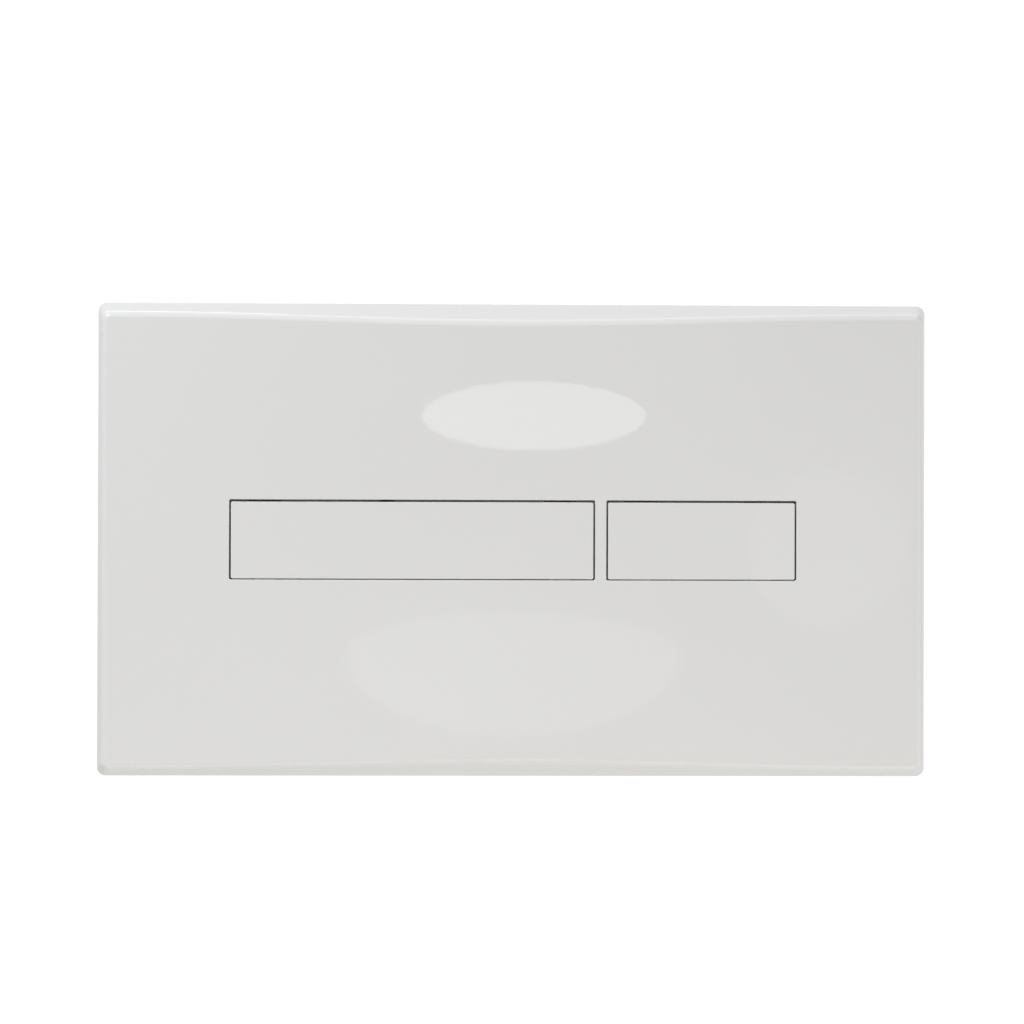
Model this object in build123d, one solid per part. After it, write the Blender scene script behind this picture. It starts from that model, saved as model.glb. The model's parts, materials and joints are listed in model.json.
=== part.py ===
"""Dual-flush plate for a concealed cistern, in millimetres.

X runs to the right along the plate, Y into the wall and Z up. The origin is the middle of the plate
on the wall's plane, so the crowned front faces -Y and the rods reach into the wall along +Y.
"""
import os
from math import sqrt, tan, radians

from build123d import *

# Cover plate
plate_width = 250.0
plate_height = 142.5
end_depth = 9.0
crown_height = 5.0
cover_wall = 2.3
rim_wall = 2.4
long_side_draft = 19.5
short_side_draft = 12.0
corner_radius = 2.0
hollow_corner_radius = 1.0
front_edge_radius = 1.8
cover_rib_depth = 3.0
cover_rib_thickness = 1.4
cover_rib_height = 30.0
collar_thickness = 1.2
collar_depth = 2.4
bar_rib_depth = 5.0

# Key windows in the cover
window_height = 23.9
window_corner_radius = 0.5
window_edge_radius = 0.3
long_window_left = -84.85
long_window_width = 109.2
centre_bar_width = 3.4
short_window_width = 57.1

# Keys
key_side_gap = 0.5
key_top_gap = 0.65
key_bottom_gap = 0.3
key_face_wall = 2.3
key_skirt_wall = 1.5
key_skirt_depth = 5.0
key_edge_radius = 0.3
key_corner_radius = 0.5
key_rib_thickness = 1.4
key_rib_depth = 4.4
stop_tab_width = 10.0
stop_tab_thickness = 1.5
stop_tab_reach = 2.0
stop_gap = 0.3
nose_radius = 3.5
nose_gap = 0.3

# Key hinges
pin_radius = 1.25
pin_chamfer = 0.3
pin_fit_clearance = 0.02
pin_running_clearance = 0.06
pin_end_reach = 0.8
knuckle_radius = 2.8
knuckle_width = 6.0
knuckle_skin_gap = 0.6
lug_thickness = 2.4
lug_side_clearance = 0.3
hinge_window_gap = 1.0
hinge_end_inset = 10.5
ear_back_reach = 1.8
ear_height = 4.8

# Key return springs
torsion_wire = 0.7
torsion_mean_radius = 2.0
torsion_turns = 4
torsion_pitch = 0.85
torsion_leg_wire = 0.6
torsion_leg_length = 10.0
torsion_side_gap = 0.4
spring_rest_width = 2.4
spring_rest_height = 3.0
spring_rest_gap = 0.1

# Mounting frame
frame_margin = 7.0
frame_thickness = 4.0
frame_corner_radius = 6.0
frame_side_bar = 26.0
frame_end_bar = 17.0
opening_corner_radius = 4.0
bridge_wall = 2.5
bridge_recess = 1.5
bridge_half_height = 16.0
bridge_lip = 1.6
bridge_lip_rise = 2.5

# Snap hooks that hold the cover on the frame
hook_spacing = 120.0
hook_width = 8.0
hook_wall = 1.4
hook_frame_gap = 0.25
hook_wall_gap = 0.4
barb_reach = 1.6
barb_thickness = 1.3
notch_side_gap = 1.0

# Fixings
fixing_spacing = 204.0
fixing_rod_radius = 3.0
fixing_rod_reach = 66.0
fixing_thread_radius = 2.0
fixing_thread_clearance = 0.05
fixing_slot_clearance = 0.3
fixing_slot_length = 14.0
fixing_pad_thickness = 2.0
fixing_pad_clearance = 1.0
washer_radius = 7.5
washer_thickness = 1.0
fixing_nut_radius = 7.0
fixing_nut_length = 4.4
fixing_nut_lobes = 8
fixing_lobe_radius = 1.4
fixing_thread_end = 0.2
rod_chamfer = 0.6

# Push rods and what they carry
push_rod_offset = 38.0
push_rod_height = 4.0
push_rod_radius = 3.0
push_rod_reach = 58.0
push_rod_fit = 0.05
push_rod_guide_clearance = 0.1
cap_front_depth = 6.5
cap_radius = 7.5
cap_thickness = 2.5
cap_edge_radius = 0.6
cap_hub_radius = 4.5
cap_hub_length = 3.2
cap_socket_floor = 1.0
lock_nut_flats = 10.0
lock_nut_length = 3.5
lock_nut_gap = 0.05
cup_bore_radius = 8.2
cup_wall = 1.6
cup_floor = 2.0
cup_depth = 7.5
clip_thickness = 0.8
clip_radius = 5.0
clip_opening = 3.6
clip_gap = 0.3
groove_depth = 0.6
groove_side_gap = 0.05
rod_spring_wire = 0.85
rod_spring_mean_radius = 6.9
rod_spring_turns = 4
rod_spring_end_gap = 0.05

# Overlap that makes an added feature one solid with the wall it stands on
root = 0.2

# Worked out from the sizes above
front_depth = end_depth + crown_height
crown_radius = ((plate_width / 2) ** 2 + crown_height**2) / (2 * crown_height)
crown_axis_y = crown_radius - front_depth
window_top = window_height / 2
window_bottom = -window_height / 2
long_window = (long_window_left, long_window_left + long_window_width)
short_window = (long_window[1] + centre_bar_width, long_window[1] + centre_bar_width + short_window_width)
key_top = window_top - key_top_gap
key_bottom = window_bottom + key_bottom_gap
long_stations = (long_window[0] + hinge_end_inset, long_window[1] - hinge_end_inset)
short_stations = (short_window[0] + hinge_end_inset, short_window[1] - hinge_end_inset)
frame_width = plate_width - 2 * frame_margin
frame_height = plate_height - 2 * frame_margin
opening_half_width = frame_width / 2 - frame_side_bar
opening_half_height = frame_height / 2 - frame_end_bar
cup_floor_y = bridge_recess + cup_depth
clip_y = cup_floor_y + cup_floor + clip_gap
cap_back_y = -cap_front_depth + cap_thickness
hub_back_y = cap_back_y + cap_hub_length
long_rod_x = -push_rod_offset
short_rod_x = push_rod_offset


def front_y(x, inset=0.0):
    """Y of the crowned front at x, or of a surface that lies this far behind it."""
    return crown_axis_y - sqrt((crown_radius - inset) ** 2 - x**2)


outer_station = max(abs(x) for x in long_stations + short_stations)
hinge_y = front_y(outer_station, cover_wall) + knuckle_skin_gap + knuckle_radius
hinge_z = window_bottom - hinge_window_gap - knuckle_radius
spring_leg_y = hinge_y + torsion_mean_radius
spring_rest_y = spring_leg_y - torsion_wire / 2 - spring_rest_gap


def behind_front(inset=0.0):
    """All that lies behind the crowned front, or behind a surface this far inside it."""
    half = plate_width / 2 + 1
    crest = (0, front_y(0, inset))
    end = front_y(half, inset)
    arc = ThreePointArc((-half, end), crest, (half, end))
    back = Polyline((half, end), (half, front_depth), (-half, front_depth), (-half, end))
    return extrude(make_face([arc, back]), amount=plate_height, both=True)


def crowned_layer(shape, near, far):
    """The part of a shape between two depths behind the crowned front."""
    return (shape & behind_front(near)) - behind_front(far)


def block(x_limits, y_limits, z_limits):
    """A box between limits."""
    pairs = (x_limits, y_limits, z_limits)
    sizes = [high - low for low, high in pairs]
    middles = [(high + low) / 2 for low, high in pairs]
    return Pos(*middles) * Box(*sizes)


def centred(middle, size):
    """Limits of a stretch about its middle."""
    return (middle - size / 2, middle + size / 2)


def through_depth(sketch, y_limits):
    """A sketch in X and Z, run along Y between limits."""
    return extrude(Plane.XZ.offset(-y_limits[1]) * sketch, amount=y_limits[1] - y_limits[0])


def across(sketch, x_limits):
    """A sketch in Y and Z, run along X between limits."""
    return extrude(Plane.YZ.offset(x_limits[0]) * sketch, amount=x_limits[1] - x_limits[0])


def turned(points, x=0.0, z=0.0):
    """A turned piece on an axis along Y, from (radius, y) points."""
    profile = make_face(Polyline(*points, close=True))
    return Pos(x, 0, z) * revolve(profile, axis=Axis.Y)


def group(solids):
    """Separate solids that make one node."""
    return Compound(children=list(solids))


def drafted_block(inset, corner_radius):
    """The plate's drafted outline, this far inside its rim, run from the wall past the front."""
    depth = front_depth + 1
    half_width = plate_width / 2 - inset
    half_height = plate_height / 2 - inset
    front_width = half_width - depth * tan(radians(short_side_draft))
    front_height = half_height - depth * tan(radians(long_side_draft))
    plan = Polyline(
        (-half_width, 0), (half_width, 0), (front_width, -depth), (-front_width, -depth), close=True
    )
    section = Polyline(
        (0, -half_height), (0, half_height), (-depth, front_height), (-depth, -front_height), close=True
    )
    body = extrude(make_face(plan), amount=plate_height, both=True)
    body &= extrude(Plane.YZ * make_face(section), amount=plate_width, both=True)
    corners = body.edges().filter_by(lambda edge: abs((edge @ 0).Y - (edge @ 1).Y) > depth / 2)
    return fillet(corners, corner_radius)


def cover_shell():
    """The crowned shell, hollow from the wall side, before its windows are cut."""
    body = drafted_block(0, corner_radius) & behind_front()
    front = body.faces().sort_by(Axis.Y)[0]
    body = fillet(front.edges(), front_edge_radius)
    hollow = drafted_block(rim_wall, hollow_corner_radius)
    return body - (hollow & behind_front(cover_wall))


def window_prism(window, y_limits):
    """A key window's outline, run along Y."""
    left, right = window
    outline = RectangleRounded(right - left, window_height, window_corner_radius)
    return through_depth(Pos((left + right) / 2, 0) * outline, y_limits)


def cover_ribs():
    """Ribs and window collars behind the cover's skin."""
    deep = (-front_depth, 0)
    side = long_window[0] - collar_thickness - cover_rib_thickness
    rib_end = fixing_spacing / 2 + washer_radius
    ribs = []
    for z in (-cover_rib_height, cover_rib_height):
        ribs.append(block((-rib_end, rib_end), deep, centred(z, cover_rib_thickness)))
    for x in (side, -side):
        half = opening_half_height
        ribs.append(block(centred(x, cover_rib_thickness), deep, (-half, half)))
    layers = [crowned_layer(rib, cover_wall - root, cover_wall + cover_rib_depth) for rib in ribs]
    for left, right in ((long_window[0] - collar_thickness, long_window[0]),
                        (short_window[1], short_window[1] + collar_thickness)):
        collar = block((left, right), deep, (window_bottom, window_top))
        layers.append(crowned_layer(collar, cover_wall - root, cover_wall + collar_depth))
    bar = block((long_window[1], short_window[0]), deep, (-cover_rib_height, cover_rib_height))
    layers.append(crowned_layer(bar, cover_wall - root, cover_wall + bar_rib_depth))
    return layers


def hinge_lugs(stations):
    """Pairs of lugs behind the cover's skin, one pair around each of a key's knuckles."""
    tongue = Pos(hinge_y - front_depth / 2, hinge_z) * Rectangle(front_depth, 2 * knuckle_radius)
    eye = Pos(hinge_y, hinge_z) * Circle(knuckle_radius)
    bore = Pos(hinge_y, hinge_z) * Circle(pin_radius + pin_fit_clearance)
    offset = (knuckle_width + lug_thickness) / 2 + lug_side_clearance
    lugs = []
    for station in stations:
        for x in (station - offset, station + offset):
            lug = across(tongue + eye - bore, centred(x, lug_thickness))
            lugs.append(lug & behind_front(cover_wall - root))
    return lugs


def spring_x(stations):
    """X of the first and last turn of the return spring beside a key's left pair of lugs."""
    lug_face = stations[0] + knuckle_width / 2 + lug_side_clearance + lug_thickness
    first = lug_face + torsion_side_gap + torsion_wire / 2
    return (first, first + torsion_turns * torsion_pitch)


def cover_spring_rest(stations):
    """The rib behind the skin that a return spring's lower leg bears on."""
    bottom = hinge_z - torsion_leg_length
    x = spring_x(stations)[0]
    rib = block(
        centred(x, spring_rest_width), (-front_depth, spring_rest_y), (bottom, bottom + spring_rest_height)
    )
    return rib & behind_front(cover_wall - root)


def hook_profile():
    """Section in Y and Z of one upper snap hook, with its barb behind the frame's notch."""
    inner = frame_height / 2 + hook_frame_gap
    outer = inner + hook_wall
    tip = -hook_wall_gap
    barb = tip - barb_thickness
    return make_face(
        Polyline(
            (-front_depth, inner),
            (barb, inner),
            (barb, inner - barb_reach),
            (barb + barb_thickness / 2, inner - barb_reach),
            (tip, inner),
            (tip, outer),
            (-front_depth, outer),
            close=True,
        )
    )


def snap_hooks():
    """Four hooks along the cover's upper and lower sides."""
    hooks = []
    for x in (-hook_spacing / 2, hook_spacing / 2):
        upper = across(hook_profile(), centred(x, hook_width)) & behind_front(cover_wall - root)
        hooks += [upper, mirror(upper, about=Plane.XY)]
    return hooks


def make_cover():
    """The crowned cover with its windows, ribs, hinge lugs and snap hooks, one moulding."""
    cover = cover_shell()
    for window in (long_window, short_window):
        cover -= window_prism(window, (-2 * front_depth, 0))
    front = cover.faces().sort_by(Axis.Y)[0]
    window_edges = [edge for wire in front.inner_wires() for edge in wire.edges()]
    cover = fillet(window_edges, window_edge_radius)
    added = cover_ribs() + snap_hooks()
    for stations in (long_stations, short_stations):
        added += hinge_lugs(stations)
        added.append(cover_spring_rest(stations))
    return cover.fuse(*added)


def key_ear(station):
    """The arm from a key's lower edge back and down to its knuckle on the hinge pin."""
    front = hinge_y - knuckle_radius
    back = hinge_y + ear_back_reach
    top = key_bottom + ear_height
    arm = make_face(
        Polyline(
            (-front_depth, top),
            (-front_depth, key_bottom),
            (front, key_bottom),
            (front, hinge_z),
            (back, hinge_z),
            (back, top),
            close=True,
        )
    )
    knuckle = Pos(hinge_y, hinge_z) * Circle(knuckle_radius)
    bore = Pos(hinge_y, hinge_z) * Circle(pin_radius + pin_running_clearance)
    ear = across(arm + knuckle - bore, centred(station, knuckle_width))
    return ear & behind_front(key_face_wall - root)


def key_nose(rod_x):
    """The rounded nose behind a key that bears on its push rod's cap."""
    centre_y = -cap_front_depth - nose_gap - nose_radius
    stem = Circle(nose_radius)
    post = through_depth(Pos(rod_x, push_rod_height) * stem, (-front_depth, centre_y))
    ball = Pos(rod_x, centre_y, push_rod_height) * Sphere(nose_radius)
    return (post + ball) & behind_front(key_face_wall - root)


def key_spring_rest(stations):
    """The rib behind a key that its return spring's upper leg bears on."""
    top = hinge_z + torsion_leg_length
    x = spring_x(stations)[1]
    rib = block(
        centred(x, spring_rest_width), (-front_depth, spring_rest_y), (key_bottom + key_skirt_wall - root, top)
    )
    return rib & behind_front(key_face_wall - root)


def make_key(window, stations, rod_x):
    """A crowned key: face, skirt, ribs, stop tabs, hinge ears and nose, one moulding."""
    left = window[0] + key_side_gap
    right = window[1] - key_side_gap
    width = right - left
    height = key_top - key_bottom
    middle = Pos((left + right) / 2, (key_top + key_bottom) / 2)
    through = (-2 * front_depth, 0)
    outline = through_depth(middle * RectangleRounded(width, height, key_corner_radius), through)
    body = crowned_layer(outline, 0, key_skirt_depth)
    front = body.faces().sort_by(Axis.Y)[0]
    body = fillet(front.edges(), key_edge_radius)
    pocket = middle * Rectangle(width - 2 * key_skirt_wall, height - 2 * key_skirt_wall)
    body -= through_depth(pocket, through) & behind_front(key_face_wall)
    added = [key_ear(station) for station in stations]
    added += [key_nose(rod_x), key_spring_rest(stations)]
    long_rib = block((left + root, right - root), through, centred(0, key_rib_thickness))
    cross_rib = block(centred(rod_x, key_rib_thickness), through, (key_bottom + root, key_top - root))
    added += [crowned_layer(rib, key_face_wall - root, key_rib_depth) for rib in (long_rib, cross_rib)]
    for station in stations:
        tab = block(
            centred(station, stop_tab_width), through, (key_top - key_skirt_wall, window_top + stop_tab_reach)
        )
        near = cover_wall + stop_gap
        added.append(crowned_layer(tab, near, near + stop_tab_thickness))
    return body.fuse(*added)


def make_hinge_pin(stations):
    """A plain pin through all of a key's knuckles and the cover's lugs."""
    reach = knuckle_width / 2 + lug_side_clearance + lug_thickness + pin_end_reach
    length = stations[1] - stations[0] + 2 * reach
    pin = Cylinder(pin_radius, length)
    pin = chamfer(pin.edges(), pin_chamfer)
    return Pos((stations[0] + stations[1]) / 2, hinge_y, hinge_z) * Rot(0, 90, 0) * pin


def coil(mean_radius, wire, pitch, turns):
    """Turns of square wire about Z, starting at +X in the plane of the origin."""
    path = Helix(pitch=pitch, height=pitch * turns, radius=mean_radius)
    start = Plane(origin=path @ 0, z_dir=path % 0, x_dir=(1, 0, 0))
    return sweep(start * Rectangle(wire, wire), path=path, is_frenet=True)


def make_return_spring(stations):
    """A torsion spring on the hinge pin: one leg bears on the cover, the other on the key."""
    first, last = spring_x(stations)
    turns = coil(torsion_mean_radius, torsion_wire, torsion_pitch, torsion_turns)
    turns = Pos(first, hinge_y, hinge_z) * Rot(0, 90, 0) * Rot(0, 0, 90) * turns
    depth = centred(spring_leg_y, torsion_leg_wire)
    lower = block(centred(first, torsion_leg_wire), depth, (hinge_z - torsion_leg_length, hinge_z + root))
    upper = block(centred(last, torsion_leg_wire), depth, (hinge_z - root, hinge_z + torsion_leg_length))
    return turns + lower + upper


def make_rod_spring(rod_x):
    """The compression spring between a cap and the floor of the frame's cup."""
    start = cap_back_y + rod_spring_end_gap + rod_spring_wire / 2
    end = cup_floor_y - rod_spring_end_gap - rod_spring_wire / 2
    pitch = (end - start) / rod_spring_turns
    turns = coil(rod_spring_mean_radius, rod_spring_wire, pitch, rod_spring_turns)
    return Pos(rod_x, start, push_rod_height) * Rot(-90, 0, 0) * turns


def make_push_rod(rod_x):
    """A push rod with a groove for its clip and a chamfered tip."""
    r = push_rod_radius
    start = -cap_front_depth + cap_socket_floor + push_rod_fit
    groove = (clip_y - groove_side_gap, clip_y + clip_thickness + groove_side_gap)
    floor = r - groove_depth
    points = [
        (0, start),
        (r - rod_chamfer, start),
        (r, start + rod_chamfer),
        (r, groove[0]),
        (floor, groove[0]),
        (floor, groove[1]),
        (r, groove[1]),
        (r, push_rod_reach - rod_chamfer),
        (r - rod_chamfer, push_rod_reach),
        (0, push_rod_reach),
    ]
    return turned(points, rod_x, push_rod_height)


def make_thrust_cap(rod_x):
    """The round cap on a push rod's front end, with a hub that takes the rod."""
    bore = push_rod_radius + push_rod_fit
    points = [
        (0, -cap_front_depth),
        (cap_radius - cap_edge_radius, -cap_front_depth),
        (cap_radius, -cap_front_depth + cap_edge_radius),
        (cap_radius, cap_back_y),
        (cap_hub_radius, cap_back_y),
        (cap_hub_radius, hub_back_y),
        (bore, hub_back_y),
        (bore, -cap_front_depth + cap_socket_floor),
        (0, -cap_front_depth + cap_socket_floor),
    ]
    return turned(points, rod_x, push_rod_height)


def make_lock_nut(rod_x):
    """The hexagon nut that locks a cap at its place on the rod."""
    hexagon = RegularPolygon(lock_nut_flats / 2, 6, major_radius=False)
    outline = hexagon - Circle(push_rod_radius + push_rod_fit)
    start = hub_back_y + lock_nut_gap
    return through_depth(Pos(rod_x, push_rod_height) * outline, (start, start + lock_nut_length))


def make_retaining_clip(rod_x):
    """The open clip in the rod's groove that keeps the rod in the frame."""
    inner = push_rod_radius - groove_depth + push_rod_fit
    mouth = Pos(0, -clip_radius / 2) * Rectangle(clip_opening, clip_radius + 2)
    outline = Circle(clip_radius) - Circle(inner) - mouth
    return through_depth(Pos(rod_x, push_rod_height) * outline, (clip_y, clip_y + clip_thickness))


def spring_cup(rod_x):
    """The cup behind the frame's bridge for a push rod's spring, with the rod's guide hole."""
    r = cup_bore_radius + cup_wall
    back = cup_floor_y + cup_floor
    hole = push_rod_radius + push_rod_guide_clearance
    start = bridge_recess
    body = turned([(0, start), (r, start), (r, back), (0, back)], rod_x, push_rod_height)
    room = turned(
        [
            (0, start - 1),
            (cup_bore_radius, start - 1),
            (cup_bore_radius, cup_floor_y),
            (hole, cup_floor_y),
            (hole, back + 1),
            (0, back + 1),
        ],
        rod_x,
        push_rod_height,
    )
    return body, room


def bridge_channel():
    """The channel across the frame's middle, recessed behind the keys, with a lip along each edge."""
    w = opening_half_width
    riser = w + bridge_wall
    floor = bridge_recess + bridge_wall
    hat = make_face(
        Polyline(
            (-riser, -frame_thickness),
            (-w, -frame_thickness),
            (-w, bridge_recess),
            (w, bridge_recess),
            (w, -frame_thickness),
            (riser, -frame_thickness),
            (riser, floor),
            (-riser, floor),
            close=True,
        )
    )
    channel = extrude(hat, amount=bridge_half_height, both=True)
    for low in (-bridge_half_height, bridge_half_height - bridge_lip):
        channel += block((-riser, riser), (bridge_recess - bridge_lip_rise, floor), (low, low + bridge_lip))
    return channel


def hook_notches():
    """Room in the frame's back edge for the barbs of the cover's hooks."""
    half_height = frame_height / 2
    depth = barb_reach + notch_side_gap
    notches = []
    for x in (-hook_spacing / 2, hook_spacing / 2):
        upper = block(
            centred(x, hook_width + 2 * notch_side_gap),
            (-hook_wall_gap - barb_thickness - hook_frame_gap, 1),
            (half_height - depth, half_height + 1),
        )
        notches += [upper, mirror(upper, about=Plane.XY)]
    return notches


def make_frame():
    """The moulded frame against the wall: ring, recessed bridge, spring cups and fixing slots."""
    ring = RectangleRounded(frame_width, frame_height, frame_corner_radius)
    ring -= RectangleRounded(2 * opening_half_width, 2 * opening_half_height, opening_corner_radius)
    frame = through_depth(ring, (-frame_thickness, 0)) + bridge_channel()
    for rod_x in (long_rod_x, short_rod_x):
        body, room = spring_cup(rod_x)
        frame = frame + body - room
    slot_width = 2 * (fixing_rod_radius + fixing_slot_clearance)
    for x in (-fixing_spacing / 2, fixing_spacing / 2):
        pad = Circle(washer_radius + fixing_pad_clearance)
        frame -= through_depth(Pos(x, 0) * pad, (-2 * frame_thickness, -fixing_pad_thickness))
        slot = SlotOverall(fixing_slot_length, slot_width, rotation=90)
        frame -= through_depth(Pos(x, 0) * slot, (-2 * frame_thickness, frame_thickness))
    for notch in hook_notches():
        frame -= notch
    return frame


def fixing_pair(make_one):
    """The same fixing piece at both ends of the plate."""
    return group(make_one(x) for x in (-fixing_spacing / 2, fixing_spacing / 2))


washer_front = -fixing_pad_thickness - washer_thickness
fixing_nut_front = washer_front - fixing_nut_length


def fixing_rod(x):
    """A rod into the cistern's opening, with a thinner threaded end for the nut."""
    end = fixing_nut_front - fixing_thread_end
    points = [
        (0, end),
        (fixing_thread_radius - rod_chamfer, end),
        (fixing_thread_radius, end + rod_chamfer),
        (fixing_thread_radius, 0),
        (fixing_rod_radius, 0),
        (fixing_rod_radius, fixing_rod_reach - rod_chamfer),
        (fixing_rod_radius - rod_chamfer, fixing_rod_reach),
        (0, fixing_rod_reach),
    ]
    return turned(points, x)


def fixing_washer(x):
    """A plain washer on the frame's pad."""
    outline = Circle(washer_radius) - Circle(fixing_thread_radius + fixing_slot_clearance)
    return through_depth(Pos(x, 0) * outline, (washer_front, -fixing_pad_thickness))


def fixing_nut(x):
    """A round nut with finger grooves around its rim."""
    outline = Circle(fixing_nut_radius) - Circle(fixing_thread_radius + fixing_thread_clearance)
    grooves = PolarLocations(fixing_nut_radius + fixing_lobe_radius / 3, fixing_nut_lobes)
    outline -= grooves * Circle(fixing_lobe_radius)
    return through_depth(Pos(x, 0) * outline, (fixing_nut_front, washer_front))


def make_parts():
    """Every node of the plate by name."""
    parts = {
        "cover_plate": make_cover(),
        "mounting_frame": make_frame(),
        "fixing_rods": fixing_pair(fixing_rod),
        "fixing_washers": fixing_pair(fixing_washer),
        "fixing_nuts": fixing_pair(fixing_nut),
    }
    for name, window, stations, rod_x in (
        ("long", long_window, long_stations, long_rod_x),
        ("short", short_window, short_stations, short_rod_x),
    ):
        parts[f"{name}_key"] = make_key(window, stations, rod_x)
        parts[f"{name}_hinge_pin"] = make_hinge_pin(stations)
        parts[f"{name}_return_spring"] = make_return_spring(stations)
        parts[f"{name}_push_rod"] = make_push_rod(rod_x)
        parts[f"{name}_thrust_cap"] = make_thrust_cap(rod_x)
        parts[f"{name}_lock_nut"] = make_lock_nut(rod_x)
        parts[f"{name}_retaining_clip"] = make_retaining_clip(rod_x)
        parts[f"{name}_rod_spring"] = make_rod_spring(rod_x)
    return parts


os.makedirs("parts", exist_ok=True)
for node, shape in make_parts().items():
    export_step(shape, f"parts/{node}.step")
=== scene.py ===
"""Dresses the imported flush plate: gloss white mouldings, plated steel, sprung keys and a pale studio."""
import json
from math import atan2, ceil, copysign, cos, pi, radians, sin, sqrt, tan

import bmesh
import bpy
from mathutils import Matrix, Vector


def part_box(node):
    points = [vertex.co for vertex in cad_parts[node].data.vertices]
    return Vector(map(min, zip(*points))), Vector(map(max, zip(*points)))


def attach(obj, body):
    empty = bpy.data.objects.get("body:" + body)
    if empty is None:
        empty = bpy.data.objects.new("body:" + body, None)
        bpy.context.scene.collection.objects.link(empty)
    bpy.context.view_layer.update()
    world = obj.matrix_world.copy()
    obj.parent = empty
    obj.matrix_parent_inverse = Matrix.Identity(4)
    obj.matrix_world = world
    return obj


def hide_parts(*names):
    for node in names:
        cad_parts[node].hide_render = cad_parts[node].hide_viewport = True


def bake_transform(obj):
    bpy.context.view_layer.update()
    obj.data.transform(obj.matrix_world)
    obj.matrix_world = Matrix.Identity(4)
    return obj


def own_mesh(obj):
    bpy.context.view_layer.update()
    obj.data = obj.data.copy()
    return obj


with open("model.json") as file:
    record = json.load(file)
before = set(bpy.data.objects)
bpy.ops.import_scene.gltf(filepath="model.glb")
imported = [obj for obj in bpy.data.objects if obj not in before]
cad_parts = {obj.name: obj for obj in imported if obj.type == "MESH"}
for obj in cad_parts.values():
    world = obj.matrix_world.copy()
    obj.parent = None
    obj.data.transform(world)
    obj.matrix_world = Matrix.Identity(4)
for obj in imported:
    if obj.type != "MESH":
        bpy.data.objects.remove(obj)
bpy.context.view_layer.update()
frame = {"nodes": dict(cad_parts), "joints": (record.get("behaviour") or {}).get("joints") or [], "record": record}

bl_info = {
    "name": "Flush plate finish",
    "version": (1, 0, 0),
    "blender": (4, 5, 0),
    "location": "3D View > Sidebar > Flush plate",
    "description": "Finishes a dual-flush plate and sets it in a pale studio",
    "category": "Object",
}

# What the frame says

X, Y, Z = range(3)
SIDES = ("long", "short")

# The crown that the cover's front and the keys share: an arc along X about an axis behind the wall's plane
CROWN_RADIUS = 1.565
CROWN_AXIS_Y = 1.551

# The gap at both ends of a key, and the clip's play along its groove
KEY_GAP = 0.0005
CLIP_PLAY = 0.00005


def crown_y(x):
    """Y of the crown."""
    return CROWN_AXIS_Y - sqrt(CROWN_RADIUS**2 - x**2)


def span(node, axis, play=0.0):
    """Lowest and highest place of a CAD node along an axis, to the micrometre, with play at both ends."""
    low, high = (corner[axis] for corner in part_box(node))
    return round(low - play, 6), round(high + play, 6)


def extent(node, axis):
    """Length of a CAD node along an axis, to the micrometre."""
    low, high = span(node, axis)
    return round(high - low, 6)


def rod_axis(side):
    """X and Z of a push rod's axis, to the micrometre, from the lock nut on it."""
    low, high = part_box(side + "_lock_nut")
    return round((low.x + high.x) / 2, 6), round((low.z + high.z) / 2, 6)


def joint(name):
    """A joint of the frame."""
    return next(item for item in frame["joints"] if item["name"] == name)


# Kinds of setting


def length(name, description, default):
    """A length in metres."""
    return bpy.props.FloatProperty(
        name=name, description=description, default=default, unit="LENGTH", subtype="DISTANCE")


def lengths(name, description, default):
    """Several lengths in metres."""
    return bpy.props.FloatVectorProperty(
        name=name, description=description, default=default, size=len(default), unit="LENGTH", subtype="NONE")


def angle(name, description, default):
    """An angle, with its default in degrees."""
    return bpy.props.FloatProperty(
        name=name, description=description, default=radians(default), unit="ROTATION", subtype="ANGLE")


def count(name, description, default, least):
    """A whole number."""
    return bpy.props.IntProperty(name=name, description=description, default=default, min=least)


def level(name, description, default):
    """A plain number."""
    return bpy.props.FloatProperty(name=name, description=description, default=default)


def power(name, description, default):
    """The power of a light in watts."""
    return bpy.props.FloatProperty(
        name=name, description=description, default=default, min=0, unit="POWER", subtype="POWER")


def colour(name, description, default):
    """The colour of a surface or a light."""
    return bpy.props.FloatVectorProperty(
        name=name, description=description, default=default, size=3, min=0, subtype="COLOR")


# Selecting and shaping


def clear_selection():
    """Leaves edit mode and selects nothing."""
    if bpy.context.mode != "OBJECT":
        bpy.ops.object.mode_set(mode="OBJECT")
    bpy.ops.object.select_all(action="DESELECT")


def make_active(piece):
    """Selects one piece alone and makes it the active one."""
    clear_selection()
    piece.select_set(True)
    bpy.context.view_layer.objects.active = piece


def open_mesh(piece):
    """Opens one piece in edit mode with all of its mesh selected."""
    make_active(piece)
    bpy.ops.object.mode_set(mode="EDIT")
    bpy.ops.mesh.select_all(action="SELECT")


def close_mesh():
    """Leaves edit mode."""
    bpy.ops.object.mode_set(mode="OBJECT")


def pick(piece, kind, rule):
    """In edit mode, selects only the verts, edges or faces that pass a rule."""
    bpy.ops.mesh.select_mode(type={"verts": "VERT", "edges": "EDGE", "faces": "FACE"}[kind])
    bpy.ops.mesh.select_all(action="DESELECT")
    mesh = bmesh.from_edit_mesh(piece.data)
    mesh.normal_update()
    for item in getattr(mesh, kind):
        if rule(item):
            item.select_set(True)
    mesh.select_flush_mode()
    bmesh.update_edit_mesh(piece.data)


def face_outwards():
    """In edit mode, turns all faces outwards."""
    bpy.ops.mesh.select_all(action="SELECT")
    bpy.ops.mesh.normals_make_consistent(inside=False)


def close_ends(piece):
    """Closes a piece's open ends and turns its faces outwards."""
    open_mesh(piece)
    bpy.ops.mesh.fill_holes(sides=0)
    face_outwards()
    close_mesh()


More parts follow.
